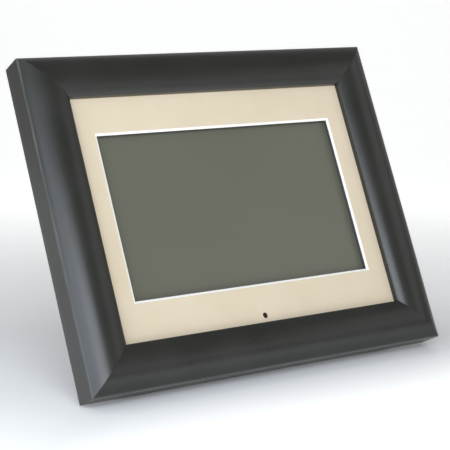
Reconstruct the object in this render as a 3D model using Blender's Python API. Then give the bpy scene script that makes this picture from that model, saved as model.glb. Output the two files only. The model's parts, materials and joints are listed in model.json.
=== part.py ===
"""Digital photo frame: a wooden moulding round a mat board and a 7-inch screen, on an easel leg.

Everything is laid out in the frame's own axes, in millimetres: x to the viewer's right, y from
the front of the mat towards the back, and z up from the underside of the moulding. One empty
then leans the whole frame back on its leg and stands it on the table, and the meshes are built
in metres.
"""

import math

import bmesh
import bpy

MM = 0.001

# Moulding
FRAME_W = 227.0
FRAME_H = 185.0
RAIL_W = 24.4
RAIL_BACK_Y = 15.0
RAIL_EDGE_Y = -1.3
CROWN_Y = -6.8
CROWN_U = 13.7
SIGHT_Y = -3.6
LIP_BACK_Y = -0.2
REBATE_U = 18.4
MITRE_GAP = 0.15

# Mat board, with a bevelled window and a small hole for the remote control's receiver
MAT_HALF_W = 94.8
MAT_HALF_H = 73.8
MAT_T = 0.8
WINDOW_HALF_W = 76.3
WINDOW_HALF_H = 46.25
BEVEL = 1.3
MID_Z = FRAME_H / 2.0
SCREEN_Z = MID_Z + 0.35
IR_Z = MID_Z - 63.85
IR_HOLE_R = 1.65

# Screen module
MODULE_HALF_W = 82.5
MODULE_HALF_H = 52.0
PANEL_Y = 4.0
MODULE_BACK_Y = 8.6

# Chassis, rear cover and boards
CHASSIS_Y = 9.4
CHASSIS_T = 1.2
COVER_FRONT_Y = 15.2
COVER_BACK_Y = 27.0
COVER_WALL = 2.0
COVER_HALF_W = 96.5
COVER_HALF_H = 75.5
FLANGE = 8.0
FLANGE_T = 2.0
COVER_CORNER_R = 6.0
BOARD_Y = 15.6
BOARD_T = 1.6
KEY_BOARD_Y = 19.6
KEY_BOARD_T = 1.2
KEY_X = -72.0
KEY_NAMES = ("power", "menu", "previous", "next", "exit")
KEY_TOP_Z = 132.0
KEY_PITCH = 12.0
SPEAKER_X = 62.0
SPEAKER_Z = 44.0
VENT_PITCH = 4.6
VENT_COUNT = 19

# Easel leg
LEAN = math.radians(26.5)
LEG_FROM_VERTICAL = math.radians(18.0)
HINGE_Y = 31.4
HINGE_Z = 128.0
PIN_R = 1.5
BARREL_R = 3.5
LEG_T = 2.6
EAR_IN = 20.8
EAR_OUT = 25.0
TABLE_BELOW_EDGE = 0.4

for old in list(bpy.data.objects):
    bpy.data.objects.remove(old, do_unlink=True)


# --- Building tools ---


def material(name, colour, roughness, metallic=0.0, coat=0.0, transmission=0.0):
    """A Principled BSDF material. colour is linear red, green and blue."""
    made = bpy.data.materials.new(name)
    made.use_nodes = True
    shader = made.node_tree.nodes["Principled BSDF"]
    shader.inputs["Base Color"].default_value = (*colour, 1.0)
    shader.inputs["Roughness"].default_value = roughness
    shader.inputs["Metallic"].default_value = metallic
    shader.inputs["Coat Weight"].default_value = coat
    shader.inputs["Transmission Weight"].default_value = transmission
    made.diffuse_color = (*colour, 1.0)
    return made


def place(name, mesh, finish, smooth=None, parent=None):
    """Put a mesh in the scene as one named piece of the frame."""
    piece = bpy.data.objects.new(name, mesh)
    bpy.context.scene.collection.objects.link(piece)
    piece.parent = parent or frame_root
    if finish:
        mesh.materials.append(finish)
    if smooth:
        mesh.shade_smooth()
        mesh.set_sharp_from_angle(angle=math.radians(smooth))
    return piece


def skin(name, rings, closed=False, centre=(0.0, 0.0, 0.0)):
    """A mesh through a row of rings of points. The ends are capped, or joined up if closed."""
    shape = bmesh.new()
    rows = []
    for ring in rings:
        points = [[(p[i] - centre[i]) * MM for i in range(3)] for p in ring]
        rows.append([shape.verts.new(point) for point in points])
    pairs = list(zip(rows, rows[1:]))
    if closed:
        pairs.append((rows[-1], rows[0]))
    else:
        shape.faces.new(rows[0])
        shape.faces.new(rows[-1])
    for here, there in pairs:
        count = len(here)
        for i in range(count):
            j = (i + 1) % count
            shape.faces.new((here[i], here[j], there[j], there[i]))
    bmesh.ops.recalc_face_normals(shape, faces=shape.faces)
    mesh = bpy.data.meshes.new(name)
    shape.to_mesh(mesh)
    shape.free()
    return mesh


def along(axis, position, point):
    """A point of an outline, set at a position along an axis."""
    if axis == "X":
        return (position, point[0], point[1])
    if axis == "Y":
        return (point[0], position, point[1])
    return (point[0], point[1], position)


def prism(name, axis, low, high, outline, finish=None, centre=(0, 0, 0), parent=None, smooth=None):
    """An outline, pushed along an axis from low to high."""
    rings = [[along(axis, end, point) for point in outline] for end in (low, high)]
    return place(name, skin(name, rings, centre=centre), finish, smooth, parent)


def block(name, low, high, finish=None):
    """A rectangular block between two corners."""
    outline = ((low[0], low[2]), (high[0], low[2]), (high[0], high[2]), (low[0], high[2]))
    return prism(name, "Y", low[1], high[1], outline, finish)


def circle(centre, radius, count=28):
    """The points of a circle in an outline's plane."""
    turns = [2.0 * math.pi * i / count for i in range(count)]
    return [(centre[0] + radius * math.cos(t), centre[1] + radius * math.sin(t)) for t in turns]


def rounded(half_w, half_h, radius, centre=(0.0, 0.0), steps=4):
    """A rectangle with round corners, as an outline."""
    points = []
    for corner, (sx, sz) in enumerate(((1, 1), (-1, 1), (-1, -1), (1, -1))):
        for i in range(steps + 1):
            turn = math.pi / 2.0 * (corner + i / steps)
            x = sx * (half_w - radius) + radius * math.cos(turn)
            z = sz * (half_h - radius) + radius * math.sin(turn)
            points.append((centre[0] + x, centre[1] + z))
    return points


def rectangle(half_w, half_h, centre_z):
    """A rectangle about x = 0, as an outline."""
    low, high = centre_z - half_h, centre_z + half_h
    return ((-half_w, low), (half_w, low), (half_w, high), (-half_w, high))


def turned(name, x, z, profile, finish=None, centre=(0, 0, 0), count=28):
    """A turned piece on an axis along y. The profile holds (radius, y) points."""
    rings = [[along("Y", y, p) for p in circle((x, z), r, count)] for r, y in profile]
    return place(name, skin(name, rings, centre=centre), finish, 35)


def ribbon(name, axis, low, high, path, thickness, finish):
    """A thin flat strip that follows a path seen from the side."""
    left, right = [], []
    for i, (a, b) in enumerate(path):
        back = path[max(i - 1, 0)]
        ahead = path[min(i + 1, len(path) - 1)]
        run, rise = ahead[0] - back[0], ahead[1] - back[1]
        length = math.hypot(run, rise)
        shift = (-rise / length * thickness / 2.0, run / length * thickness / 2.0)
        left.append((a + shift[0], b + shift[1]))
        right.append((a - shift[0], b - shift[1]))
    return prism(name, axis, low, high, left + right[::-1], finish)


def combine(piece, tool, operation):
    """Cut a tool shape from a piece, or join it on. The tool itself isn't part of the frame."""
    tool.hide_render = True
    tool.display_type = "WIRE"
    step = piece.modifiers.new(tool.name, "BOOLEAN")
    step.operation = operation
    step.solver = "EXACT"
    step.object = tool


def cut(piece, tool):
    combine(piece, tool, "DIFFERENCE")


def fuse(piece, tool):
    combine(piece, tool, "UNION")


# --- Finishes ---

BLACK_PAINT = material("black_painted_wood", (0.017, 0.017, 0.016), 0.34, coat=0.25)
STEEL = material("zinc_steel", (0.55, 0.55, 0.54), 0.38, metallic=1.0)
BLACK_STEEL = material("black_steel", (0.02, 0.02, 0.021), 0.45, metallic=0.6)
MAT_CARD = material("mat_card", (0.74, 0.66, 0.53), 0.85)
TINTED = material("tinted_window", (0.02, 0.008, 0.008), 0.15)
FOAM = material("foam", (0.09, 0.09, 0.085), 0.95)
SCREEN = material("screen_glass", (0.17, 0.17, 0.14), 0.3)
FILM = material("film", (0.85, 0.86, 0.86), 0.35)
ACRYLIC = material("acrylic", (0.8, 0.84, 0.86), 0.1, transmission=0.6)
CIRCUIT = material("circuit_board", (0.016, 0.09, 0.04), 0.45)
CHIP = material("chip_plastic", (0.02, 0.02, 0.022), 0.6)
CONNECTOR = material("connector_plastic", (0.6, 0.58, 0.5), 0.55)
RIBBON = material("ribbon_film", (0.35, 0.2, 0.07), 0.4)
CONE = material("speaker_cone", (0.04, 0.04, 0.04), 0.8)
COVER_PLASTIC = material("cover_plastic", (0.022, 0.022, 0.024), 0.55)
CHASSIS_PLASTIC = material("chassis_plastic", (0.09, 0.09, 0.09), 0.6)
KEY_PLASTIC = material("key_plastic", (0.08, 0.08, 0.085), 0.4)
RUBBER = material("rubber", (0.025, 0.025, 0.025), 0.9)

# The frame's axes. The meshes hang from this empty, which leans and stands them at the end.
frame_root = bpy.data.objects.new("frame_root", None)
bpy.context.scene.collection.objects.link(frame_root)
frame_root.rotation_euler = (-LEAN, 0.0, 0.0)


# --- Moulding: four mitred rails, and a V nail across each mitre ---


def crown_points(count):
    """The rounded front of a rail: two arcs that meet level at the crown."""
    outer_drop = RAIL_EDGE_Y - CROWN_Y
    inner_run = RAIL_W - CROWN_U
    inner_drop = SIGHT_Y - CROWN_Y
    outer_r = (CROWN_U**2 + outer_drop**2) / (2.0 * outer_drop)
    inner_r = (inner_run**2 + inner_drop**2) / (2.0 * inner_drop)
    points = []
    for i in range(count + 1):
        u = 0.45 + (RAIL_W - 0.8) * i / count
        radius = outer_r if u < CROWN_U else inner_r
        points.append((u, CROWN_Y + radius - math.sqrt(radius**2 - (u - CROWN_U) ** 2)))
    return points


RAIL_PROFILE = [
    (0.0, RAIL_BACK_Y),
    (0.0, RAIL_EDGE_Y + 0.5),
    (0.12, RAIL_EDGE_Y + 0.05),
    *crown_points(16),
    (RAIL_W, SIGHT_Y + 0.35),
    (RAIL_W, LIP_BACK_Y),
    (REBATE_U, LIP_BACK_Y),
    (REBATE_U, RAIL_BACK_Y),
]


def rail(name, long_side, side):
    """One rail. u is the distance in from the outline, and the ends follow the mitres."""
    half_w, half_h = FRAME_W / 2.0, FRAME_H / 2.0
    rings = []
    for end in (-1, 1):
        ring = []
        for u, y in RAIL_PROFILE:
            reach = (half_w if long_side else half_h) - u - MITRE_GAP
            off = (half_h if long_side else half_w) - u
            x, z = (end * reach, side * off) if long_side else (side * off, end * reach)
            ring.append((x, y, MID_Z + z))
        rings.append(ring)
    return place(name, skin(name, rings), BLACK_PAINT, 35)


def nail_outline(sx, sz, spare):
    """A right-angled nail across one mitre, seen from behind, with some spare round it."""
    tip, heel, thick = 5.0 - spare, 12.0 + spare, 0.7 + 2.0 * spare
    steps = ((heel, heel), (tip, heel), (tip, heel - thick), (heel - thick, heel - thick))
    steps += ((heel - thick, tip), (heel, tip))
    return [(sx * (FRAME_W / 2 - a), MID_Z + sz * (FRAME_H / 2 - b)) for a, b in steps]


rails = {
    "top": rail("rail_top", True, 1),
    "bottom": rail("rail_bottom", True, -1),
    "left": rail("rail_left", False, -1),
    "right": rail("rail_right", False, 1),
}
for sx, across in ((-1, "left"), (1, "right")):
    for sz, level in ((1, "top"), (-1, "bottom")):
        corner = f"{level}_{across}"
        prism(f"corner_nail_{corner}", "Y", 8.5, 14.8, nail_outline(sx, sz, 0.0), STEEL)
        slot = prism(f"nail_slot_{corner}", "Y", 8.3, 16.0, nail_outline(sx, sz, 0.15))
        cut(rails[across], slot)
        cut(rails[level], slot)


# --- Mat board and the receiver's window ---


def framed(name, rings, finish):
    """A rectangular ring whose section is given by (half width, half height, middle z, y)."""
    loops = [[along("Y", y, p) for p in rectangle(w, h, z)] for w, h, z, y in rings]
    return place(name, skin(name, loops, closed=True), finish)


mat_rings = (
    (MAT_HALF_W, MAT_HALF_H, MID_Z, 0.0),
    (MAT_HALF_W, MAT_HALF_H, MID_Z, MAT_T),
    (WINDOW_HALF_W, WINDOW_HALF_H, SCREEN_Z, MAT_T),
    (WINDOW_HALF_W + BEVEL, WINDOW_HALF_H + BEVEL, SCREEN_Z, 0.0),
)
mat_board = framed("mat_board", mat_rings, MAT_CARD)
cut(mat_board, prism("mat_ir_hole", "Y", -1.0, 3.0, circle((0.0, IR_Z), IR_HOLE_R)))
window_profile = ((1.1, 0.2), (1.45, 0.4), (1.45, 1.0), (3.2, 1.0), (3.2, 1.8), (1.0, 1.8))
turned("ir_window", 0.0, IR_Z, window_profile, TINTED)


# --- Screen module: gasket, bezel, panel, films, light guide, lamps and tray ---

gasket_rings = (
    (MODULE_HALF_W - 1.0, MODULE_HALF_H - 1.0, SCREEN_Z, 1.0),
    (MODULE_HALF_W - 1.0, MODULE_HALF_H - 1.0, SCREEN_Z, 3.0),
    (WINDOW_HALF_W + 0.3, WINDOW_HALF_H + 0.3, SCREEN_Z, 3.0),
    (WINDOW_HALF_W + 0.3, WINDOW_HALF_H + 0.3, SCREEN_Z, 1.0),
)
framed("screen_gasket", gasket_rings, FOAM)

SHEET = 0.6
BEZEL_Y = 3.2
bezel_rings = (
    (MODULE_HALF_W, MODULE_HALF_H, SCREEN_Z, BEZEL_Y),
    (MODULE_HALF_W, MODULE_HALF_H, SCREEN_Z, MODULE_BACK_Y),
    (MODULE_HALF_W - SHEET, MODULE_HALF_H - SHEET, SCREEN_Z, MODULE_BACK_Y),
    (MODULE_HALF_W - SHEET, MODULE_HALF_H - SHEET, SCREEN_Z, BEZEL_Y + SHEET),
    (WINDOW_HALF_W + 0.5, WINDOW_HALF_H + 0.5, SCREEN_Z, BEZEL_Y + SHEET),
    (WINDOW_HALF_W + 0.5, WINDOW_HALF_H + 0.5, SCREEN_Z, BEZEL_Y),
)
framed("lcd_bezel", bezel_rings, BLACK_STEEL)

module_low, module_high = SCREEN_Z - MODULE_HALF_H, SCREEN_Z + MODULE_HALF_H
layers = (
    ("lcd_panel", 1.5, 1.5, 1.5, PANEL_Y, PANEL_Y + 1.2, SCREEN),
    ("optical_films", 2.0, 2.0, 2.0, 5.4, 5.9, FILM),
    ("light_guide", 2.5, 5.0, 2.5, 6.1, 7.8, ACRYLIC),
)
for name, side, below, above, front, back, finish in layers:
    low = (side - MODULE_HALF_W, front, module_low + below)
    high = (MODULE_HALF_W - side, back, module_high - above)
    block(name, low, high, finish)
block("led_strip", (-76.0, 6.1, module_low + 2.2), (76.0, 7.8, module_low + 4.4), FILM)

tray_w, tray_h = MODULE_HALF_W - 0.8, MODULE_HALF_H - 0.8
tray_loops = []
for inset, y in ((0.4, 8.1), (0.4, 5.6), (0.0, 5.6), (0.0, MODULE_BACK_Y)):
    outline = rectangle(tray_w - inset, tray_h - inset, SCREEN_Z)
    tray_loops.append([along("Y", y, p) for p in outline])
place("lcd_back_tray", skin("lcd_back_tray", tray_loops), STEEL)


# --- Chassis: a shallow plastic tray that presses the mat and the screen forward ---

chassis_loops = []
for half_w, half_h, y in (
    (91.6, 70.6, CHASSIS_Y),
    (91.6, 70.6, 1.0),
    (94.6, 73.6, 1.0),
    (94.6, 73.6, CHASSIS_Y + CHASSIS_T),
):
    chassis_loops.append([along("Y", y, p) for p in rectangle(half_w, half_h, MID_Z)])
chassis = place("chassis", skin("chassis", chassis_loops), CHASSIS_PLASTIC)
POSTS = ((26.0, 134.0, True), (76.0, 74.5, True), (26.0, 78.5, False), (88.0, 134.0, False))
for i, (x, z, threaded) in enumerate(POSTS):
    post = prism(f"board_post_{i}", "Y", CHASSIS_Y + 0.4, 15.4, circle((x, z), 2.8, 20))
    fuse(chassis, post)
    if threaded:
        cut(chassis, prism(f"post_bore_{i}", "Y", 11.0, 16.0, circle((x, z), 1.35, 20)))
cut(chassis, block("flex_slot", (31.0, 8.0, 58.6), (57.0, 12.0, 64.0)))
cut(chassis, block("ir_lead_slot", (22.6, 8.0, 37.6), (29.4, 12.0, 42.4)))


# --- Receiver for the remote control ---

block("ir_board", (-11.0, 7.9, 23.0), (31.0, 9.1, 35.0), CIRCUIT)
ir_receiver = block("ir_receiver", (-3.2, 5.2, IR_Z - 3.4), (3.2, 7.7, IR_Z + 3.4), CHIP)
dome = [(2.4 * math.cos(t), 5.6 - 2.6 * math.sin(t)) for t in (0.0, 0.4, 0.8, 1.15, 1.45)]
fuse(ir_receiver, turned("ir_dome", 0.0, IR_Z, [(2.4, 6.4), *dome]))
ir_path = ((8.5, 35.4), (8.6, 37.4), (9.3, 39.0), (11.4, 41.0), (13.2, 45.0), (13.4, 64.0))
ir_path += ((15.6, 67.0), (17.8, 68.6), (18.0, 73.0))
ribbon("ir_lead", "X", 23.4, 28.6, ir_path, 0.4, RIBBON)


# --- Main board, with its chips and sockets ---

board = block("main_board", (22.0, BOARD_Y, 70.0), (94.0, BOARD_Y + BOARD_T, 138.0), CIRCUIT)
BOARD_BACK = BOARD_Y + BOARD_T
SEAT = BOARD_BACK + 0.2
block("processor_chip", (36.0, SEAT, 96.0), (54.0, SEAT + 1.5, 114.0), CHIP)
block("memory_chip", (34.0, SEAT, 82.5), (56.0, SEAT + 1.2, 92.0), CHIP)
block("lcd_connector", (30.0, SEAT, 72.0), (58.0, SEAT + 2.2, 77.0), CONNECTOR)
coil = ((4.2, SEAT), (4.2, SEAT + 3.4), (3.6, SEAT + 4.0), (1.6, SEAT + 4.0))
turned("power_inductor", 68.0, 88.0, coil, CHIP)

flex_path = ((8.95, 48.0), (8.95, 58.0), (9.3, 59.9), (10.8, 61.2), (14.0, 63.6), (17.0, 65.8))
flex_path += ((18.3, 67.6), (18.6, 69.4), (18.6, 71.7))
ribbon("lcd_flex_cable", "X", 32.0, 56.0, flex_path, 0.25, RIBBON)

card_socket = block("card_socket", (62.0, SEAT, 104.0), (94.2, SEAT + 6.8, 134.0), STEEL)
cut(card_socket, block("card_slot", (66.0, SEAT + 1.2, 106.0), (99.0, SEAT + 5.6, 132.0)))
usb_shell = prism("usb_socket", "X", 85.0, 94.2, rounded(1.95, 3.95, 0.8, (SEAT + 2.0, 93.6)), STEEL)
cut(usb_shell, prism("usb_mouth", "X", 87.0, 99.0, rounded(1.55, 3.5, 0.6, (SEAT + 2.0, 93.6))))
fuse(usb_shell, block("usb_tongue", (86.5, SEAT + 1.6, 91.2), (93.2, SEAT + 2.4, 96.0)))
JACK_Y, JACK_Z = SEAT + 3.6, 79.0
dc_jack = block("dc_jack", (82.0, SEAT, JACK_Z - 4.0), (94.2, SEAT + 7.0, JACK_Z + 4.0), CHIP)
cut(dc_jack, prism("jack_bore", "X", 85.0, 99.0, circle((JACK_Y, JACK_Z), 2.75)))
cut(dc_jack, prism("jack_pin_hole", "X", 80.0, 88.0, circle((JACK_Y, JACK_Z), 1.0, 16)))
prism("dc_jack_pin", "X", 82.3, 93.6, circle((JACK_Y, JACK_Z), 0.85, 16), STEEL, smooth=35)


# --- Rear cover ---

COVER_INNER_W = COVER_HALF_W - COVER_WALL
COVER_INNER_H = COVER_HALF_H - COVER_WALL
COVER_INNER_Y = COVER_BACK_Y - COVER_WALL
cover_sections = (
    (COVER_INNER_W, COVER_INNER_H, 4.0, COVER_INNER_Y),
    (COVER_INNER_W, COVER_INNER_H, 4.0, COVER_FRONT_Y),
    (COVER_HALF_W + FLANGE, COVER_HALF_H + FLANGE, 8.0, COVER_FRONT_Y),
    (COVER_HALF_W + FLANGE, COVER_HALF_H + FLANGE, 8.0, COVER_FRONT_Y + FLANGE_T - 0.5),
    (COVER_HALF_W + FLANGE - 0.5, COVER_HALF_H + FLANGE - 0.5, 7.5, COVER_FRONT_Y + FLANGE_T),
    (COVER_HALF_W, COVER_HALF_H, COVER_CORNER_R, COVER_FRONT_Y + FLANGE_T),
    (COVER_HALF_W, COVER_HALF_H, COVER_CORNER_R, COVER_BACK_Y - 1.6),
    (COVER_HALF_W - 0.5, COVER_HALF_H - 0.5, COVER_CORNER_R - 0.5, COVER_BACK_Y - 0.5),
    (COVER_HALF_W - 1.6, COVER_HALF_H - 1.6, COVER_CORNER_R - 1.6, COVER_BACK_Y),
)
cover_loops = []
for half_w, half_h, radius, y in cover_sections:
    cover_loops.append([along("Y", y, p) for p in rounded(half_w, half_h, radius, (0.0, MID_Z))])
rear_cover = place("rear_cover", skin("rear_cover", cover_loops), COVER_PLASTIC, 35)

key_heights = [KEY_TOP_Z - i * KEY_PITCH for i in range(len(KEY_NAMES))]
BRACKET_SCREWS = ((-15.0, 142.0), (15.0, 142.0))
COVER_SCREWS = ((-100.5, 40.0), (100.5, 40.0), (-100.5, 145.0), (100.5, 145.0))
KEY_PEGS = (KEY_TOP_Z + 8.0, KEY_TOP_Z - KEY_PITCH * 4 - 8.0)

# Bosses for the bracket's screws, and stepped pegs that hold the key board
for i, (x, z) in enumerate(BRACKET_SCREWS):
    fuse(rear_cover, prism(f"bracket_boss_{i}", "Y", 20.0, 25.6, circle((x, z), 3.4, 20)))
for i, z in enumerate(KEY_PEGS):
    peg = ((1.2, 18.8), (1.2, 21.1), (2.8, 21.1), (2.8, 25.6))
    fuse(rear_cover, turned(f"key_peg_{i}", KEY_X, z, peg, count=20))


def cover_slot(name, x, z, half_w, half_h):
    """A round-ended slot through the back of the cover."""
    outline = rounded(half_w, half_h, min(half_w, half_h) - 0.01, (x, z), steps=3)
    cut(rear_cover, prism(name, "Y", COVER_INNER_Y - 1.0, COVER_BACK_Y + 1.0, outline))


for i in range(VENT_COUNT):
    cover_slot(f"vent_{i}", (i - (VENT_COUNT - 1) / 2.0) * VENT_PITCH, 158.5, 1.1, 4.5)
for side in (-1, 1):
    for i, half_w in enumerate((5.0, 8.5, 9.5, 8.5, 5.0)):
        cover_slot(f"grille_{side}_{i}", side * SPEAKER_X, SPEAKER_Z + (i - 2) * 4.2, half_w, 1.0)
for i, z in enumerate(key_heights):
    cut(rear_cover, prism(f"key_hole_{i}", "Y", 23.0, 28.0, circle((KEY_X, z), 4.1, 24)))
for i, (x, z) in enumerate(BRACKET_SCREWS):
    cut(rear_cover, prism(f"boss_bore_{i}", "Y", 18.0, 28.0, circle((x, z), 1.65, 20)))
for i, (x, z) in enumerate(COVER_SCREWS):
    cut(rear_cover, prism(f"flange_hole_{i}", "Y", 14.0, 18.0, circle((x, z), 1.8, 20)))
    pilot = prism(f"pilot_hole_{i}", "Y", 8.0, 16.0, circle((x, z), 1.65, 20))
    cut(rails["left" if x < 0 else "right"], pilot)

# Ways out for the card, the lead and the plug, through the cover's right-hand wall
cut(rear_cover, block("card_mouth", (92.0, SEAT + 0.9, 105.5), (99.0, SEAT + 5.9, 132.5)))
usb_mouth = rounded(2.3, 4.4, 0.9, (SEAT + 2.0, 93.6))
cut(rear_cover, prism("usb_opening", "X", 92.0, 99.0, usb_mouth))
cut(rear_cover, prism("jack_opening", "X", 92.0, 99.0, circle((JACK_Y, JACK_Z), 3.4)))


# --- Screws ---


def screw(name, x, z, seat_y, length, head_r, shank_r):
    """A pan-head screw driven from behind, with a cross in its head."""
    head = head_r * 0.62
    profile = (
        (head_r * 0.55, seat_y + head),
        (head_r * 0.86, seat_y + head * 0.8),
        (head_r, seat_y + head * 0.35),
        (head_r, seat_y),
        (shank_r, seat_y),
        (shank_r, seat_y - length + 1.0),
        (shank_r * 0.3, seat_y - length),
    )
    made = turned(name, x, z, profile, STEEL, count=20)
    arm, half = head_r * 0.5, head_r * 0.13
    cross = [(arm, -half), (arm, half), (half, half), (half, arm), (-half, arm), (-half, half)]
    cross += [(-a, -b) for a, b in cross]
    outline = [(x + a, z + b) for a, b in cross]
    low, high = seat_y + head * 0.4, seat_y + head + 1.0
    cut(made, prism(f"{name}_cross", "Y", low, high, outline))


for i, (x, z) in enumerate(COVER_SCREWS, 1):
    screw(f"cover_screw_{i}", x, z, COVER_FRONT_Y + FLANGE_T + 0.15, 9.0, 2.9, 1.5)
for i, (x, z, threaded) in enumerate(POSTS[:2], 1):
    cut(board, prism(f"board_hole_{i}", "Y", 15.0, 18.0, circle((x, z), 1.5, 20)))
    screw(f"board_screw_{i}", x, z, BOARD_BACK + 0.15, 5.6, 2.3, 1.15)


# --- Speakers, facing the grilles ---

cone = ((2.0, 19.2), (6.6, 19.2), (6.6, 21.2), (9.0, 21.6), (13.0, 23.6), (13.0, 24.7))
cone += ((12.0, 24.7), (11.4, 24.2), (5.0, 22.2), (4.0, 22.9), (1.2, 23.3))
for side, name in ((-1, "speaker_left"), (1, "speaker_right")):
    turned(name, side * SPEAKER_X, SPEAKER_Z, cone, CONE)


# --- Keys: a small board, with a switch under each button ---

KEY_BACK = KEY_BOARD_Y + KEY_BOARD_T
key_low, key_high = key_heights[-1] - 11.5, key_heights[0] + 11.5
key_corners = ((KEY_X - 7.0, KEY_BOARD_Y, key_low), (KEY_X + 7.0, KEY_BACK, key_high))
key_board = block("key_board", *key_corners, CIRCUIT)
for i, z in enumerate(KEY_PEGS):
    cut(key_board, prism(f"peg_hole_{i}", "Y", 19.0, 21.4, circle((KEY_X, z), 1.45, 20)))
for name, z in zip(KEY_NAMES, key_heights):
    low = (KEY_X - 3.0, KEY_BACK + 0.15, z - 3.0)
    high = (KEY_X + 3.0, KEY_BACK + 1.8, z + 3.0)
    switch = block(f"switch_{name}", low, high, CHIP)
    plunger = circle((KEY_X, z), 1.7, 16)
    fuse(switch, prism(f"plunger_{name}", "Y", KEY_BACK + 1.0, KEY_BACK + 2.2, plunger))
    axis_point = (KEY_X, COVER_BACK_Y, z)
    cap = ((5.0, 23.9), (5.0, 24.65), (3.85, 24.65), (3.85, 27.9), (3.4, 28.3), (1.5, 28.5))
    button = turned(f"button_{name}", KEY_X, z, cap, KEY_PLASTIC, centre=axis_point)
    button.location = [value * MM for value in axis_point]
key_path = ((-68.0, 19.1), (-64.0, 19.1), (-58.0, 18.6), (14.0, 18.6), (20.0, 18.2), (26.0, 17.7))
ribbon("key_cable", "Z", 118.0, 127.0, key_path, 0.3, RIBBON)


# --- Easel leg: bracket, pin, leg and its rubber foot ---

ear = ((27.3, 150.0), (29.4, 150.0), (30.4, 141.0), (35.0, 131.5), (35.0, 126.5), (32.5, 124.2))
ear += ((27.3, 124.2),)
bracket = prism("leg_bracket", "X", -EAR_OUT, EAR_OUT, ear, COVER_PLASTIC)
cut(bracket, block("leg_gap", (-EAR_IN, 26.0, 120.0), (EAR_IN, 38.0, 132.4)))
cut(bracket, block("plate_step", (-EAR_IN, 29.3, 130.0), (EAR_IN, 38.0, 152.0)))
pin_bore = prism("ear_bore", "X", -30.0, 30.0, circle((HINGE_Y, HINGE_Z), PIN_R + 0.06, 32))
cut(bracket, pin_bore)
for i, (x, z) in enumerate(BRACKET_SCREWS, 1):
    cut(bracket, prism(f"bracket_hole_{i}", "Y", 26.0, 31.0, circle((x, z), 1.8, 20)))
    screw(f"bracket_screw_{i}", x, z, 29.45, 8.4, 2.9, 1.5)
prism("hinge_pin", "X", -26.4, 26.4, circle((HINGE_Y, HINGE_Z), PIN_R, 32), STEEL, smooth=35)

# The leg is drawn hanging straight down from its hinge, and its empty swings it out.
leg_pivot = bpy.data.objects.new("leg_pivot", None)
bpy.context.scene.collection.objects.link(leg_pivot)
leg_pivot.parent = frame_root
leg_pivot.location = (0.0, HINGE_Y * MM, HINGE_Z * MM)
leg_pivot.rotation_euler = (LEAN + LEG_FROM_VERTICAL, 0.0, 0.0)

edge_height = -RAIL_BACK_Y * math.sin(LEAN)
hinge_height = HINGE_Z * math.cos(LEAN) - HINGE_Y * math.sin(LEAN)
LEG_DROP = hinge_height - edge_height + TABLE_BELOW_EDGE
LEG_LENGTH = LEG_DROP / math.cos(LEG_FROM_VERTICAL) - 5.0


def on_table(y):
    """How far down the leg's own axis the table is, at a distance y through its thickness."""
    return -(LEG_DROP + y * math.sin(LEG_FROM_VERTICAL)) / math.cos(LEG_FROM_VERTICAL)


LEG_FRONT = -BARREL_R + 0.1
half_outline = [(19.9, 0.0), (19.9, -6.0), (24.0, -13.0), (28.5, 8.0 - LEG_LENGTH)]
half_outline += [(27.6, 3.0 - LEG_LENGTH), (24.5, -LEG_LENGTH)]
leg_outline = half_outline + [(-x, z) for x, z in half_outline[::-1]]
leg = prism("easel_leg", "Y", LEG_FRONT, LEG_FRONT + LEG_T, leg_outline, COVER_PLASTIC, parent=leg_pivot)
barrel = prism("leg_barrel", "X", -20.3, 20.3, circle((0.0, 0.0), BARREL_R, 32), parent=leg_pivot)
fuse(leg, barrel)
heel = ((29.75, 128.4), (29.75, 134.6), (31.4, 134.6), (33.4, 128.4))
fuse(leg, prism("leg_heel", "X", -9.0, 9.0, heel))
pocket = [(15.5, -14.0), (22.0, -20.0), (24.5, 12.0 - LEG_LENGTH), (20.0, 7.0 - LEG_LENGTH)]
pocket += [(-x, z) for x, z in pocket[::-1]]
pocket_floor = LEG_FRONT + LEG_T - 1.1
cut(leg, prism("leg_pocket", "Y", pocket_floor, 3.0, pocket, parent=leg_pivot))
cut(leg, prism("leg_bore", "X", -30, 30, circle((0, 0), PIN_R + 0.1, 32), parent=leg_pivot))

pad = [(y, on_table(y)) for y in (-4.0, 0.0)]
pad += [(0.0, -LEG_LENGTH - 0.3), (-4.0, -LEG_LENGTH - 0.3)]
prism("leg_foot_pad", "X", -24.0, 24.0, pad, RUBBER, parent=leg_pivot)


# --- Feet under the back edge of the moulding, flat on the table ---


def foot_z(y):
    """The height of the table under the frame's back edge, in the frame's own axes."""
    return (edge_height - TABLE_BELOW_EDGE + y * math.sin(LEAN)) / math.cos(LEAN)


FOOT_FRONT, FOOT_BACK = 18.2, 24.0
foot = [(15.3, 8.4), (15.3, 2.2), (16.0, 1.6), (FOOT_FRONT, foot_z(FOOT_FRONT))]
foot += [(FOOT_BACK, foot_z(FOOT_BACK)), (FOOT_BACK, 8.4)]
for side, name in ((-1, "foot_left"), (1, "foot_right")):
    prism(name, "X", side * 80.0 - 8.0, side * 80.0 + 8.0, foot, RUBBER)


# --- Stand the frame on the table, centred over the origin ---


def stand_on_table():
    """Move the frame's empty so that the feet are at z = 0 and the footprint is centred."""
    bpy.context.view_layer.update()
    graph = bpy.context.evaluated_depsgraph_get()
    points = []
    for piece in bpy.context.scene.objects:
        if piece.type != "MESH" or piece.hide_render:
            continue
        shape = piece.evaluated_get(graph)
        points += [shape.matrix_world @ vertex.co for vertex in shape.data.vertices]
    low = [min(point[i] for point in points) for i in range(3)]
    high = [max(point[i] for point in points) for i in range(3)]
    middle = [(a + b) / 2.0 for a, b in zip(low, high)]
    frame_root.location = (-middle[0], -middle[1], -low[2])
    bpy.context.view_layer.update()


stand_on_table()
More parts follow.
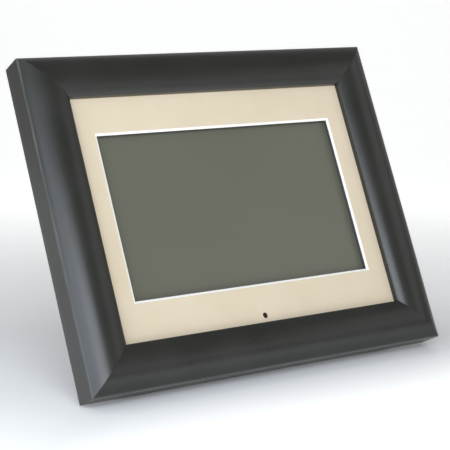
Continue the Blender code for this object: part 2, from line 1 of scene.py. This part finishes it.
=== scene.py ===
"""Digital photo frame: the visible surfaces, the studio and the camera.

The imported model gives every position. Shapes are laid out in the frame's own axes, in
millimetres: x to the viewer's right, y from the front of the mat towards the back, and z up
from the underside of the moulding. `to_world` leans them back as the CAD does.
"""

import json
import math

import bmesh
import bpy
from mathutils import Matrix, Vector


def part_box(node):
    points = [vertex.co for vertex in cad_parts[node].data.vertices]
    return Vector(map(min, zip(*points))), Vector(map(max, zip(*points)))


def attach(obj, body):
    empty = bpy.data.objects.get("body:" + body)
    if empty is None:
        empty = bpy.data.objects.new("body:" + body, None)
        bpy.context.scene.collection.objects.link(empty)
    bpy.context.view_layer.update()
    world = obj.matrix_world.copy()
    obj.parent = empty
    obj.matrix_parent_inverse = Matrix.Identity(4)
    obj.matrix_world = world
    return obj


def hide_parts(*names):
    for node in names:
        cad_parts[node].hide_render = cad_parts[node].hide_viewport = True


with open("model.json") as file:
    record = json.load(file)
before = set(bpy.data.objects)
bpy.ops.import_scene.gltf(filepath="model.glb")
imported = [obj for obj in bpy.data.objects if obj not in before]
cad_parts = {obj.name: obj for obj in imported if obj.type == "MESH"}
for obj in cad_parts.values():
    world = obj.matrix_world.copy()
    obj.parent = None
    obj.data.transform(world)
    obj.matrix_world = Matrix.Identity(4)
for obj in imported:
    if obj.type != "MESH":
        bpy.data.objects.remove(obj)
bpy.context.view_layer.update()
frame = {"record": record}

# --- Sizes, in millimetres ---

LEAN = math.radians(26.5)

# The moulding, as in the CAD. _U is a distance in from the outline, and _Y a depth. The back
# is 0.25 mm further forward, because the rails here have no slots for the corner nails and
# the nails have to show.
FRAME_W = 227.0
FRAME_H = 185.0
MID_Z = FRAME_H / 2.0
RAIL_W = 24.4
RAIL_BACK_Y = 14.75
RAIL_EDGE_Y = -1.3
CROWN_Y = -6.8
CROWN_U = 13.7
SIGHT_Y = -3.6
LIP_BACK_Y = -0.2
REBATE_U = 18.4
# Finer than the CAD: each end stops short of the mitre, and its edges are eased.
MITRE_GAP = 0.02
MITRE_EASE = 0.05
# Points of the section in front of this belong to the rounded face.
FACE_Y = -1.0
# Where a rail is divided along its length, from one mitre (-1) to the other (1).
RAIL_STEPS = (-0.98, -0.9, -0.7, -0.5, -0.25, 0.0, 0.25, 0.5, 0.7, 0.9, 0.98)

# The mat board and its window, as in the CAD, with the rim of the bevel softened.
MAT_HALF_W = 94.8
MAT_HALF_H = 73.8
MAT_T = 0.8
WINDOW_HALF_W = 76.3
WINDOW_HALF_H = 46.25
BEVEL = 1.3
RIM_EASE = 0.05
RIM_DROP = 0.03
HOLE_R = 1.65
HOLE_SIDES = 40
PUNCH_Y = (-2.0, 4.0)
IR_Z = MID_Z - 63.85

# The screen. Its grey-green face reaches a little past the window, so that the black
# border stays out of sight from the front.
SCREEN_Z = MID_Z + 0.35
PANEL_Y = 4.0
PANEL_T = 1.2
PANEL_HALF_W = 81.0
PANEL_HALF_H = 50.5
PANEL_EASE = 0.15
FACE_HALF_W = 77.2
FACE_HALF_H = 47.2

# --- The frame's own axes, found from the mat board's box ---

lean_back = Matrix.Rotation(-LEAN, 4, "X")
low, high = (Vector(corner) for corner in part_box("mat_board"))
mat_middle = (low + high) / 2.0
shift = mat_middle - lean_back @ Vector((0.0, MAT_T / 2000.0, MID_Z / 1000.0))
FRAME_AXES = Matrix.Translation(shift) @ lean_back


def to_world(x, y, z):
    """A point of the frame's own axes, in millimetres, as a world point in metres."""
    return FRAME_AXES @ Vector((x / 1000.0, y / 1000.0, z / 1000.0))


# --- Node tools ---


class Recipe:
    """A Principled BSDF material and short ways to add nodes to it."""

    def __init__(self, name):
        self.material = bpy.data.materials.new(name)
        self.material.use_nodes = True
        self.nodes = self.material.node_tree.nodes
        self.links = self.material.node_tree.links
        self.shader = self.nodes["Principled BSDF"]

    def set(self, **values):
        """Set the shader's own sockets: Roughness=..., Specular_IOR_Level=..."""
        for key, value in values.items():
            self.shader.inputs[key.replace("_", " ")].default_value = value

    def feed(self, output, socket):
        """Link an output to one of the shader's own sockets."""
        self.links.new(output, self.shader.inputs[socket])

    def put(self, value, socket):
        """Give a node's socket another node's output, an (r, g, b) or a number."""
        if isinstance(value, bpy.types.NodeSocket):
            self.links.new(value, socket)
        elif isinstance(value, tuple):
            socket.default_value = (*value, 1.0)
        else:
            socket.default_value = value

    def place(self, scale=(1.0, 1.0, 1.0)):
        """Object coordinates turned into the frame's own axes and stretched."""
        source = self.nodes.new("ShaderNodeTexCoord")
        turn = self.nodes.new("ShaderNodeMapping")
        turn.inputs["Rotation"].default_value = (LEAN, 0.0, 0.0)
        stretch = self.nodes.new("ShaderNodeMapping")
        stretch.inputs["Scale"].default_value = scale
        self.links.new(source.outputs["Object"], turn.inputs["Vector"])
        self.links.new(turn.outputs["Vector"], stretch.inputs["Vector"])
        return stretch.outputs["Vector"]

    def noise(self, vector, scale, detail=3.0, roughness=0.5):
        node = self.nodes.new("ShaderNodeTexNoise")
        node.inputs["Scale"].default_value = scale
        node.inputs["Detail"].default_value = detail
        node.inputs["Roughness"].default_value = roughness
        self.links.new(vector, node.inputs["Vector"])
        return node.outputs["Fac"]

    def remap(self, value, low, high, from_low=0.3, from_high=0.7):
        """Values from from_low to from_high become low to high, and stay inside them."""
        node = self.nodes.new("ShaderNodeMapRange")
        node.inputs["From Min"].default_value = from_low
        node.inputs["From Max"].default_value = from_high
        node.inputs["To Min"].default_value = low
        node.inputs["To Max"].default_value = high
        self.links.new(value, node.inputs["Value"])
        return node.outputs["Result"]

    def ramp(self, value, first, last):
        """A blend of two colours, over the middle of a noise's range."""
        node = self.nodes.new("ShaderNodeValToRGB")
        stops = ((0.3, first), (0.7, last))
        for element, (position, colour) in zip(node.color_ramp.elements, stops):
            element.position = position
            element.color = (*colour, 1.0)
        self.links.new(value, node.inputs["Fac"])
        return node.outputs["Color"]

    def mix(self, factor, first, second):
        """Blend two colours; each is a socket or an (r, g, b)."""
        node = self.nodes.new("ShaderNodeMix")
        node.data_type = "RGBA"
        for place, value in ((0, factor), (6, first), (7, second)):
            self.put(value, node.inputs[place])
        return node.outputs[2]

    def math(self, operation, first, second):
        node = self.nodes.new("ShaderNodeMath")
        node.operation = operation
        for socket, value in zip(node.inputs, (first, second)):
            self.put(value, socket)
        return node.outputs[0]

    def vector_math(self, operation, vector, other=(0.0, 0.0, 0.0)):
        """A vector operation that gives a number, such as LENGTH or DOT_PRODUCT."""
        node = self.nodes.new("ShaderNodeVectorMath")
        node.operation = operation
        self.links.new(vector, node.inputs[0])
        node.inputs[1].default_value = other
        return node.outputs["Value"]

    def bump(self, height, distance, strength, chain=None):
        node = self.nodes.new("ShaderNodeBump")
        node.inputs["Distance"].default_value = distance
        node.inputs["Strength"].default_value = strength
        self.links.new(height, node.inputs["Height"])
        if chain:
            self.links.new(chain, node.inputs["Normal"])
        return node.outputs["Normal"]


# --- Materials ---


def painted_wood(name, grain_scale):
    """Dark satin paint on wood: soft orange peel, faint grain, and outer edges painted lighter,
    partly as rubbed paint and partly as a painted highlight.
    """
    paint = Recipe(name)
    paint.set(Roughness=0.3, Specular_IOR_Level=0.5)
    grain = paint.noise(paint.place(grain_scale), 26.0, 5.0, 0.6)
    peel = paint.noise(paint.place(), 900.0, 2.0)
    cloud = paint.noise(paint.place(), 38.0, 3.0)
    colour = paint.ramp(cloud, (0.018, 0.0185, 0.0155), (0.023, 0.0235, 0.0200))
    # Lighter edges, from a per-point attribute: partly rubbed paint, partly a painted highlight
    # along the edges.
    edge_wear_and_highlight = paint.nodes.new("ShaderNodeAttribute")
    edge_wear_and_highlight.attribute_name = "edge_wear_and_highlight"
    wear_and_highlight = paint.math("MULTIPLY", edge_wear_and_highlight.outputs["Fac"], paint.remap(grain, 0.25, 1.0))
    paint.feed(paint.mix(wear_and_highlight, colour, (0.12, 0.12, 0.11)), "Base Color")
    paint.feed(paint.remap(cloud, 0.27, 0.32), "Roughness")
    first = paint.bump(grain, 0.00006, 0.35)
    paint.feed(paint.bump(peel, 0.00002, 0.25, first), "Normal")
    return paint.material


def mat_card():
    """Cream mat board: a matt paper face with fine fibres and a little mottling."""
    card = Recipe("mat_face")
    card.set(Roughness=0.88, Specular_IOR_Level=0.25)
    fibre = card.noise(card.place((1.0, 1.0, 2.2)), 1400.0, 4.0, 0.65)
    mottle = card.noise(card.place(), 60.0, 4.0)
    colour = card.ramp(mottle, (0.68, 0.572, 0.413), (0.71, 0.602, 0.442))
    colour = card.mix(card.remap(fibre, 0.0, 0.12), colour, (0.53, 0.44, 0.31))
    card.feed(colour, "Base Color")
    card.feed(card.bump(fibre, 0.00004, 0.5), "Normal")
    return card.material


def bevel_core():
    """The cut edge of the mat: a white core with faint knife marks."""
    core = Recipe("mat_core")
    core.set(Roughness=0.8, Specular_IOR_Level=0.3)
    marks = core.noise(core.place((1.0, 3.0, 1.0)), 700.0, 3.0)
    core.feed(core.ramp(marks, (0.88, 0.86, 0.80), (0.94, 0.92, 0.87)), "Base Color")
    core.feed(core.bump(marks, 0.00003, 0.4), "Normal")
    return core.material


def screen_surface():
    """The screen, switched off: grey-green behind a matt anti-glare film."""
    glass = Recipe("screen_active")
    glass.set(Roughness=0.34, Specular_IOR_Level=0.5)
    drift = glass.noise(glass.place(), 9.0, 1.0)
    glass.feed(glass.ramp(drift, (0.120, 0.120, 0.088), (0.131, 0.131, 0.097)), "Base Color")
    sparkle = glass.noise(glass.place(), 5200.0, 1.0)
    glass.feed(glass.bump(sparkle, 0.000004, 0.3), "Normal")
    return glass.material


def dull(name, light, dark, roughness, grain, depth=0.00003, metallic=0.0, specular=0.5):
    """A moulded or sheet surface with fine grain, from two near colours.

    grain is the scale of the noise, and depth the height of its bumps in metres.
    """
    made = Recipe(name)
    made.set(Roughness=roughness, Metallic=metallic, Specular_IOR_Level=specular)
    fine = made.noise(made.place(), grain, 3.0, 0.6)
    broad = made.noise(made.place(), 45.0, 3.0)
    made.feed(made.ramp(broad, dark, light), "Base Color")
    made.feed(made.remap(fine, roughness - 0.05, roughness + 0.05), "Roughness")
    made.feed(made.bump(fine, depth, 0.5), "Normal")
    return made.material


def board_surface():
    """A circuit board: green resist over faint copper tracks."""
    board = Recipe("circuit_surface")
    board.set(Roughness=0.35, Specular_IOR_Level=0.5)
    cells = board.nodes.new("ShaderNodeTexVoronoi")
    cells.distance = "CHEBYCHEV"
    cells.inputs["Scale"].default_value = 260.0
    board.links.new(board.place(), cells.inputs["Vector"])
    tracks = board.remap(cells.outputs["Distance"], 0.0, 1.0, 0.25, 0.35)
    board.feed(board.mix(tracks, (0.012, 0.075, 0.032), (0.022, 0.125, 0.055)), "Base Color")
    board.feed(board.bump(tracks, 0.00003, 0.4), "Normal")
    return board.material


# --- Mesh tools ---


def bridge(shape, rows, closed_rows=False, closed_ring=True):
    """Quads between successive rows of vertices. Gives back the faces row by row."""
    pairs = list(zip(rows, rows[1:]))
    if closed_rows:
        pairs.append((rows[-1], rows[0]))
    strips = []
    for here, there in pairs:
        count = len(here)
        last = count if closed_ring else count - 1
        strip = []
        for i in range(last):
            j = (i + 1) % count
            strip.append(shape.faces.new((here[i], here[j], there[j], there[i])))
        strips.append(strip)
    return strips


def cap(shape, rows):
    """Close the first and the last row of a bridge. Gives back the two faces."""
    return shape.faces.new(rows[0]), shape.faces.new(rows[-1])


def linked(name, shape, *materials):
    """Turn a bmesh into an object of the scene, and free it."""
    mesh = bpy.data.meshes.new(name)
    shape.to_mesh(mesh)
    shape.free()
    for material in materials:
        mesh.materials.append(material)
    made = bpy.data.objects.new(name, mesh)
    bpy.context.scene.collection.objects.link(made)
    return made


def piece(name, shape, *materials, smooth):
    """Make a bmesh laid out in the frame's axes (mm) into a piece of the frame body.

    Edges sharper than smooth, in degrees, stay sharp.
    """
    for vertex in shape.verts:
        vertex.co = to_world(*vertex.co)
    bmesh.ops.recalc_face_normals(shape, faces=shape.faces)
    made = linked(name, shape, *materials)
    made.data.shade_smooth()
    made.data.set_sharp_from_angle(angle=math.radians(smooth))
    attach(made, "frame")
    return made


# --- Moulding ---


def rail_profile():
    """The section of a rail as (u, y, lightening); lightening says how much lighter the paint
    is, 0 to 1, partly from rubbed paint and partly as a painted edge highlight.
    """
    outer_drop = RAIL_EDGE_Y - CROWN_Y
    inner_run = RAIL_W - CROWN_U
    inner_drop = SIGHT_Y - CROWN_Y
    outer_r = (CROWN_U**2 + outer_drop**2) / (2.0 * outer_drop)
    inner_r = (inner_run**2 + inner_drop**2) / (2.0 * inner_drop)

    def crown(u):
        radius = outer_r if u < CROWN_U else inner_r
        return CROWN_Y + radius - math.sqrt(radius**2 - (u - CROWN_U) ** 2)

    # The flat side, its back edge a little lighter, then its rounded front edge, both painted
    # lighter as rubbed paint and a painted highlight.
    points = [
        (0.0, RAIL_BACK_Y, 0.2),
        (0.0, 10.0, 0.0),
        (0.0, 3.0, 0.0),
        (0.0, 0.2, 0.0),
        (0.0, RAIL_EDGE_Y + 0.85, 0.3),
        (0.02, RAIL_EDGE_Y + 0.5, 0.8),
        (0.09, RAIL_EDGE_Y + 0.2, 1.0),
        (0.22, crown(0.22) + 0.1, 1.0),
        (0.42, crown(0.42) + 0.02, 0.7),
    ]
    # The rounded face.
    start, end, count = 0.7, RAIL_W - 0.5, 48
    for i in range(count + 1):
        u = start + (end - start) * i / count
        points.append((u, crown(u), 0.15 if i == 0 else 0.0))
    # The edge beside the mat, painted a little lighter as rubbed paint and a painted highlight,
    # the lip in front of the mat, and the rebate behind the lip.
    edge = crown(RAIL_W)
    points += [
        (RAIL_W - 0.22, edge + 0.02, 0.1),
        (RAIL_W - 0.06, edge + 0.16, 0.25),
        (RAIL_W, edge + 0.4, 0.1),
        (RAIL_W, -1.6, 0.0),
        (RAIL_W, LIP_BACK_Y, 0.0),
        (REBATE_U, LIP_BACK_Y, 0.0),
        (REBATE_U, RAIL_BACK_Y, 0.0),
    ]
    return points


def rail(name, node, long_side, side, paint):
    """One mitred rail, its ends eased a little so that the mitre shows as a fine line."""
    half_w, half_h = FRAME_W / 2.0, FRAME_H / 2.0
    profile = rail_profile()
    shape = bmesh.new()
    # How much lighter each point's paint is: rubbed paint plus a painted edge highlight.
    edge_wear_and_highlight = shape.verts.layers.float.new("edge_wear_and_highlight")
    rows = []
    # Each step is (which end, how far from it or along the rail, how much is eased away).
    steps = [(-1, 0.0, MITRE_EASE), (-1, MITRE_EASE, 0.0)]
    steps += [(0, step, 0.0) for step in RAIL_STEPS]
    steps += [(1, MITRE_EASE, 0.0), (1, 0.0, MITRE_EASE)]
    for end, along, ease in steps:
        row = []
        for u, y, wear_and_highlight in profile:
            reach = (half_w if long_side else half_h) - u - MITRE_GAP
            run = end * (reach - along) if end else along * reach
            inward = ease if u < RAIL_W / 2.0 else -ease
            off = (half_h if long_side else half_w) - u - (inward if y > FACE_Y else 0.0)
            depth = y + (ease if y < FACE_Y else 0.0)
            x, z = (run, side * off) if long_side else (side * off, run)
            vertex = shape.verts.new((x, depth, MID_Z + z))
            vertex[edge_wear_and_highlight] = wear_and_highlight
            row.append(vertex)
        rows.append(row)
    bridge(shape, rows)
    cap(shape, rows)
    made = piece(name, shape, paint, smooth=32.0)
    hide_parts(node)


across_grain = painted_wood("moulding_paint_level", (1.0, 14.0, 14.0))
upright_grain = painted_wood("moulding_paint_upright", (14.0, 14.0, 1.0))
rail("moulding_top", "rail_top", True, 1, across_grain)
rail("moulding_bottom", "rail_bottom", True, -1, across_grain)
rail("moulding_left", "rail_left", False, -1, upright_grain)
rail("moulding_right", "rail_right", False, 1, upright_grain)


# --- Mat board ---


def window_ring(half_w, half_h, middle_z, y):
    """The four corners of an upright rectangle."""
    return [
        (-half_w, y, middle_z - half_h),
        (half_w, y, middle_z - half_h),
        (half_w, y, middle_z + half_h),
        (-half_w, y, middle_z + half_h),
    ]


def bevel_ring(out, y):
    """A ring of the window's bevel, `out` millimetres larger than the window all round."""
    return window_ring(WINDOW_HALF_W + out, WINDOW_HALF_H + out, SCREEN_Z, y)


def hole_punch(material):
    """A round tool that cuts the receiver's hole."""
    shape = bmesh.new()
    turns = [2.0 * math.pi * i / HOLE_SIDES for i in range(HOLE_SIDES)]
    rows = []
    for y in PUNCH_Y:
        ring = [(HOLE_R * math.cos(t), y, IR_Z + HOLE_R * math.sin(t)) for t in turns]
        rows.append([shape.verts.new(to_world(*point)) for point in ring])
    bridge(shape, rows)
    cap(shape, rows)
    bmesh.ops.recalc_face_normals(shape, faces=shape.faces)
    return linked("punch", shape, material)


def mat_board():
    """The mat: an outer sheet, a wide bevel round the window, and a punched hole."""
    shape = bmesh.new()
    rings = [
        window_ring(MAT_HALF_W, MAT_HALF_H, MID_Z, MAT_T),
        window_ring(MAT_HALF_W, MAT_HALF_H, MID_Z, 0.0),
        bevel_ring(BEVEL + RIM_EASE, 0.0),
        bevel_ring(BEVEL - RIM_EASE, RIM_DROP),
        bevel_ring(0.0, MAT_T),
    ]
    rows = [[shape.verts.new(point) for point in ring] for ring in rings]
    strips = bridge(shape, rows, closed_rows=True)
    for face in strips[3]:
        face.material_index = 1
    core = bevel_core()
    made = piece("mat_sheet", shape, mat_card(), core, smooth=20.0)
    punch = hole_punch(core)
    hole = made.modifiers.new("hole", "BOOLEAN")
    hole.object = punch
    graph = bpy.context.evaluated_depsgraph_get()
    cut_mesh = bpy.data.meshes.new_from_object(made.evaluated_get(graph))
    made.modifiers.remove(hole)
    made.data = cut_mesh
    bpy.data.objects.remove(punch)
    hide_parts("mat_board")


mat_board()


# --- Screen ---


def screen():
    """The panel: a black border with the grey-green face inside it."""
    shape = bmesh.new()
    rings = [
        window_ring(PANEL_HALF_W, PANEL_HALF_H, SCREEN_Z, PANEL_Y + PANEL_T),
        window_ring(PANEL_HALF_W, PANEL_HALF_H, SCREEN_Z, PANEL_Y + PANEL_EASE),
        window_ring(PANEL_HALF_W - PANEL_EASE, PANEL_HALF_H - PANEL_EASE, SCREEN_Z, PANEL_Y),
        window_ring(FACE_HALF_W, FACE_HALF_H, SCREEN_Z, PANEL_Y),
    ]
    rows = [[shape.verts.new(point) for point in ring] for ring in rings]
    bridge(shape, rows)
    _, face = cap(shape, rows)
    face.material_index = 1
    black = ((0.022, 0.022, 0.021), (0.018, 0.018, 0.017))
    border = dull("screen_border", *black, 0.3, 3000.0, 0.000004)
    made = piece("screen_panel", shape, border, screen_surface(), smooth=20.0)
    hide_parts("lcd_panel")


screen()


# --- Finishes of the CAD nodes that stay ---

# Material slot: the arguments of dull, as (name, light, dark, roughness, grain, ...).
DULL_FINISHES = {
    "zinc_steel": (
        "zinc_plate", (0.62, 0.62, 0.60), (0.5, 0.5, 0.49), 0.36, 900.0, 0.00001, 1.0,
    ),
    "tinted_window": (
        "tinted_lens", (0.030, 0.010, 0.009), (0.022, 0.008, 0.008), 0.12, 600.0, 0.000003,
    ),
    "foam": (
        "gasket_foam", (0.095, 0.095, 0.09), (0.08, 0.08, 0.076), 0.9, 2200.0, 0.0001, 0.0, 0.2,
    ),
    "black_steel": (
        "bezel_black", (0.07, 0.07, 0.068), (0.06, 0.06, 0.058), 0.5, 1500.0, 0.00001,
    ),
    "film": (
        "diffuser_film", (0.86, 0.87, 0.87), (0.8, 0.82, 0.82), 0.4, 1500.0, 0.00001,
    ),
    "acrylic": (
        "light_guide_acrylic", (0.84, 0.88, 0.89), (0.78, 0.83, 0.85), 0.12, 500.0, 0.000005,
    ),
    "lamp_strip": (
        "lamp_board", (0.85, 0.84, 0.78), (0.78, 0.77, 0.7), 0.5, 900.0,
    ),
    "chassis_plastic": (
        "chassis_grain", (0.1, 0.1, 0.1), (0.08, 0.08, 0.08), 0.6, 1400.0, 0.00004,
    ),
    "chip_plastic": (
        "chip_resin", (0.028, 0.028, 0.03), (0.02, 0.02, 0.022), 0.6, 2600.0, 0.00002,
    ),
    "connector_plastic": (
        "connector_nylon", (0.66, 0.63, 0.54), (0.58, 0.55, 0.47), 0.55, 1200.0,
    ),
    "ribbon_film": (
        "ribbon_polyimide", (0.42, 0.25, 0.09), (0.33, 0.19, 0.06), 0.35, 800.0, 0.00001,
    ),
    "speaker_cone": (
        "cone_paper", (0.05, 0.05, 0.05), (0.035, 0.035, 0.035), 0.85, 1600.0, 0.00006,
    ),
    "cover_plastic": (
        "cover_grain", (0.030, 0.030, 0.032), (0.024, 0.024, 0.026), 0.52, 1700.0, 0.00006,
    ),
    "key_plastic": (
        "key_plastic_satin", (0.1, 0.1, 0.105), (0.08, 0.08, 0.085), 0.35, 1500.0, 0.00001,
    ),
    "rubber": (
        "foot_rubber", (0.035, 0.035, 0.034), (0.025, 0.025, 0.025), 0.85, 1100.0, 0.00005,
    ),
}
finishes = {slot: dull(*recipe) for slot, recipe in DULL_FINISHES.items()}
finishes["circuit_board"] = board_surface()
for entry in frame["record"]["subparts"]:
    node = bpy.data.objects.get(entry["node"])
    finish = finishes.get(entry["material_slot"])
    if node and finish:
        node.data.materials.clear()
        node.data.materials.append(finish)


# --- Studio: a pale floor, soft light, and the camera. Sizes from here on are in metres ---

# The sheet and its glow face the camera.
SHEET_TURN = math.radians(-32.3)
SHEET_HALF_W = 4.0
SHEET_NEAR = -3.0
SHEET_BEND = 1.1
SHEET_RADIUS = 0.9
SHEET_TOP = 2.6


def sheet_glow(paper):
    """A glow of the sheet's own, so that it stays pale where the lights don't reach.

    It is strongest in front of the object and behind it. The floor next to the object has
    almost none, apart from a patch before the lower rail, so that a soft shadow shows.
    """
    source = paper.nodes.new("ShaderNodeTexCoord").outputs["Object"]
    axes = paper.nodes.new("ShaderNodeSeparateXYZ")
    paper.links.new(source, axes.inputs[0])
    away = paper.vector_math("LENGTH", source)
    frame_back = (math.sin(SHEET_TURN), math.cos(SHEET_TURN), 0.0)
    facing = paper.vector_math("DOT_PRODUCT", source, frame_back)

    around = paper.remap(away, 0.0, 1.0, 0.1, 0.3)
    ahead = paper.remap(axes.outputs["Y"], 0.64, 0.0, -0.24, 0.02)
    near_by = paper.remap(away, 1.0, 0.0, 0.14, 0.34)
    front = paper.remap(facing, 0.6, 0.0, -0.15, -0.062)
    patch = paper.math("MULTIPLY", near_by, front)
    apron = paper.math("MAXIMUM", paper.math("MULTIPLY", around, ahead), patch)

    sideways = paper.math("ABSOLUTE", axes.outputs["X"], 0.0)
    middle = paper.remap(sideways, 1.0, 0.0, 0.4, 0.75)
    behind = paper.remap(axes.outputs["Y"], 0.0, 0.5, 0.05, 0.5)
    glow = paper.math("ADD", apron, paper.math("MULTIPLY", middle, behind))
    paper.feed(paper.math("ADD", glow, 0.05), "Emission Strength")


def studio_floor():
    """A pale sheet that lies under the object and sweeps up behind it."""
    outline = [(SHEET_NEAR, 0.0), (-1.0, 0.0), (0.0, 0.0), (SHEET_BEND, 0.0)]
    for i in range(1, 13):
        turn = math.pi / 2.0 * i / 12
        y = SHEET_BEND + SHEET_RADIUS * math.sin(turn)
        outline.append((y, SHEET_RADIUS - SHEET_RADIUS * math.cos(turn)))
    outline.append((SHEET_BEND + SHEET_RADIUS, SHEET_TOP))
    shape = bmesh.new()
    rows = [
        [shape.verts.new((x, y, z)) for y, z in outline]
        for x in (-SHEET_HALF_W, SHEET_HALF_W)
    ]
    bridge(shape, rows, closed_ring=False)
    paper = Recipe("studio_paper")
    paper.set(Roughness=0.9, Specular_IOR_Level=0.1, Emission_Color=(1.0, 1.0, 1.0, 1.0))
    patches = paper.noise(paper.place(), 6.0)
    paper.feed(paper.ramp(patches, (0.90, 0.90, 0.90), (0.92, 0.92, 0.92)), "Base Color")
    sheet_glow(paper)
    sheet = linked("studio_sheet", shape, paper.material)
    sheet.data.shade_smooth()
    sheet.matrix_world = Matrix.Rotation(SHEET_TURN, 4, "Z")


def soft_box(target, name, azimuth, elevation, distance, width, height, power, colour):
    """An area light aimed at a point. Azimuth 0 is in front of the frame, + to its right."""
    light = bpy.data.lights.new(name, "AREA")
    light.shape = "RECTANGLE"
    light.size = width
    light.size_y = height
    light.energy = power
    light.color = colour
    holder = bpy.data.objects.new(name, light)
    bpy.context.scene.collection.objects.link(holder)
    turn, rise = math.radians(azimuth), math.radians(elevation)
    level = math.cos(rise)
    away = Vector((math.sin(turn) * level, -math.cos(turn) * level, math.sin(rise)))
    holder.location = target + away * distance
    holder.rotation_euler = (-away).to_track_quat("-Z", "Y").to_euler()


def camera(target):
    """The view from the left, a little above the middle of the frame."""
    lens = bpy.data.cameras.new("camera")
    lens.sensor_width = 36.0
    lens.lens = 107.92
    lens.clip_start = 0.01
    eye = bpy.data.objects.new("camera", lens)
    bpy.context.scene.collection.objects.link(eye)
    eye.location = target + Vector((-0.4032, -0.6246, 0.1253))
    look = Vector((0.5256, 0.8313, -0.1806))
    eye.rotation_euler = look.to_track_quat("-Z", "Y").to_euler()
    bpy.context.scene.camera = eye


COOL = (0.78, 0.87, 1.0)
WHITE = (1.0, 1.0, 1.0)
# Name, azimuth, elevation, distance, width, height, power, colour.
SOFT_BOXES = (
    ("key_left", -32.0, 26.0, 1.1, 1.15, 0.45, 7.4, COOL),
    ("key_front", -18.0, 25.0, 1.1, 0.6, 0.4, 2.1, WHITE),
    ("side_left", -74.0, 4.0, 0.7, 0.4, 0.4, 1.7, COOL),
    ("back_left", -110.0, 35.0, 1.3, 0.6, 0.6, 2.0, WHITE),
    ("top_left", -60.0, 80.0, 1.4, 1.0, 1.0, 0.9, WHITE),
    ("fill_right", 32.0, 14.0, 1.2, 0.8, 0.4, 0.5, WHITE),
    ("side_right", 62.0, 26.0, 1.2, 0.7, 0.5, 0.6, WHITE),
)

mat_front = to_world(0.0, 0.0, MID_Z)
camera(mat_front)
studio_floor()
for box in SOFT_BOXES:
    soft_box(mat_front, *box)

world = bpy.data.worlds.new("studio_air")
bpy.context.scene.world = world
world.use_nodes = True
sky = world.node_tree.nodes["Background"]
sky.inputs["Color"].default_value = (1.0, 1.0, 0.96, 1.0)
sky.inputs["Strength"].default_value = 0.22
bpy.context.scene.view_settings.view_transform = "Standard"
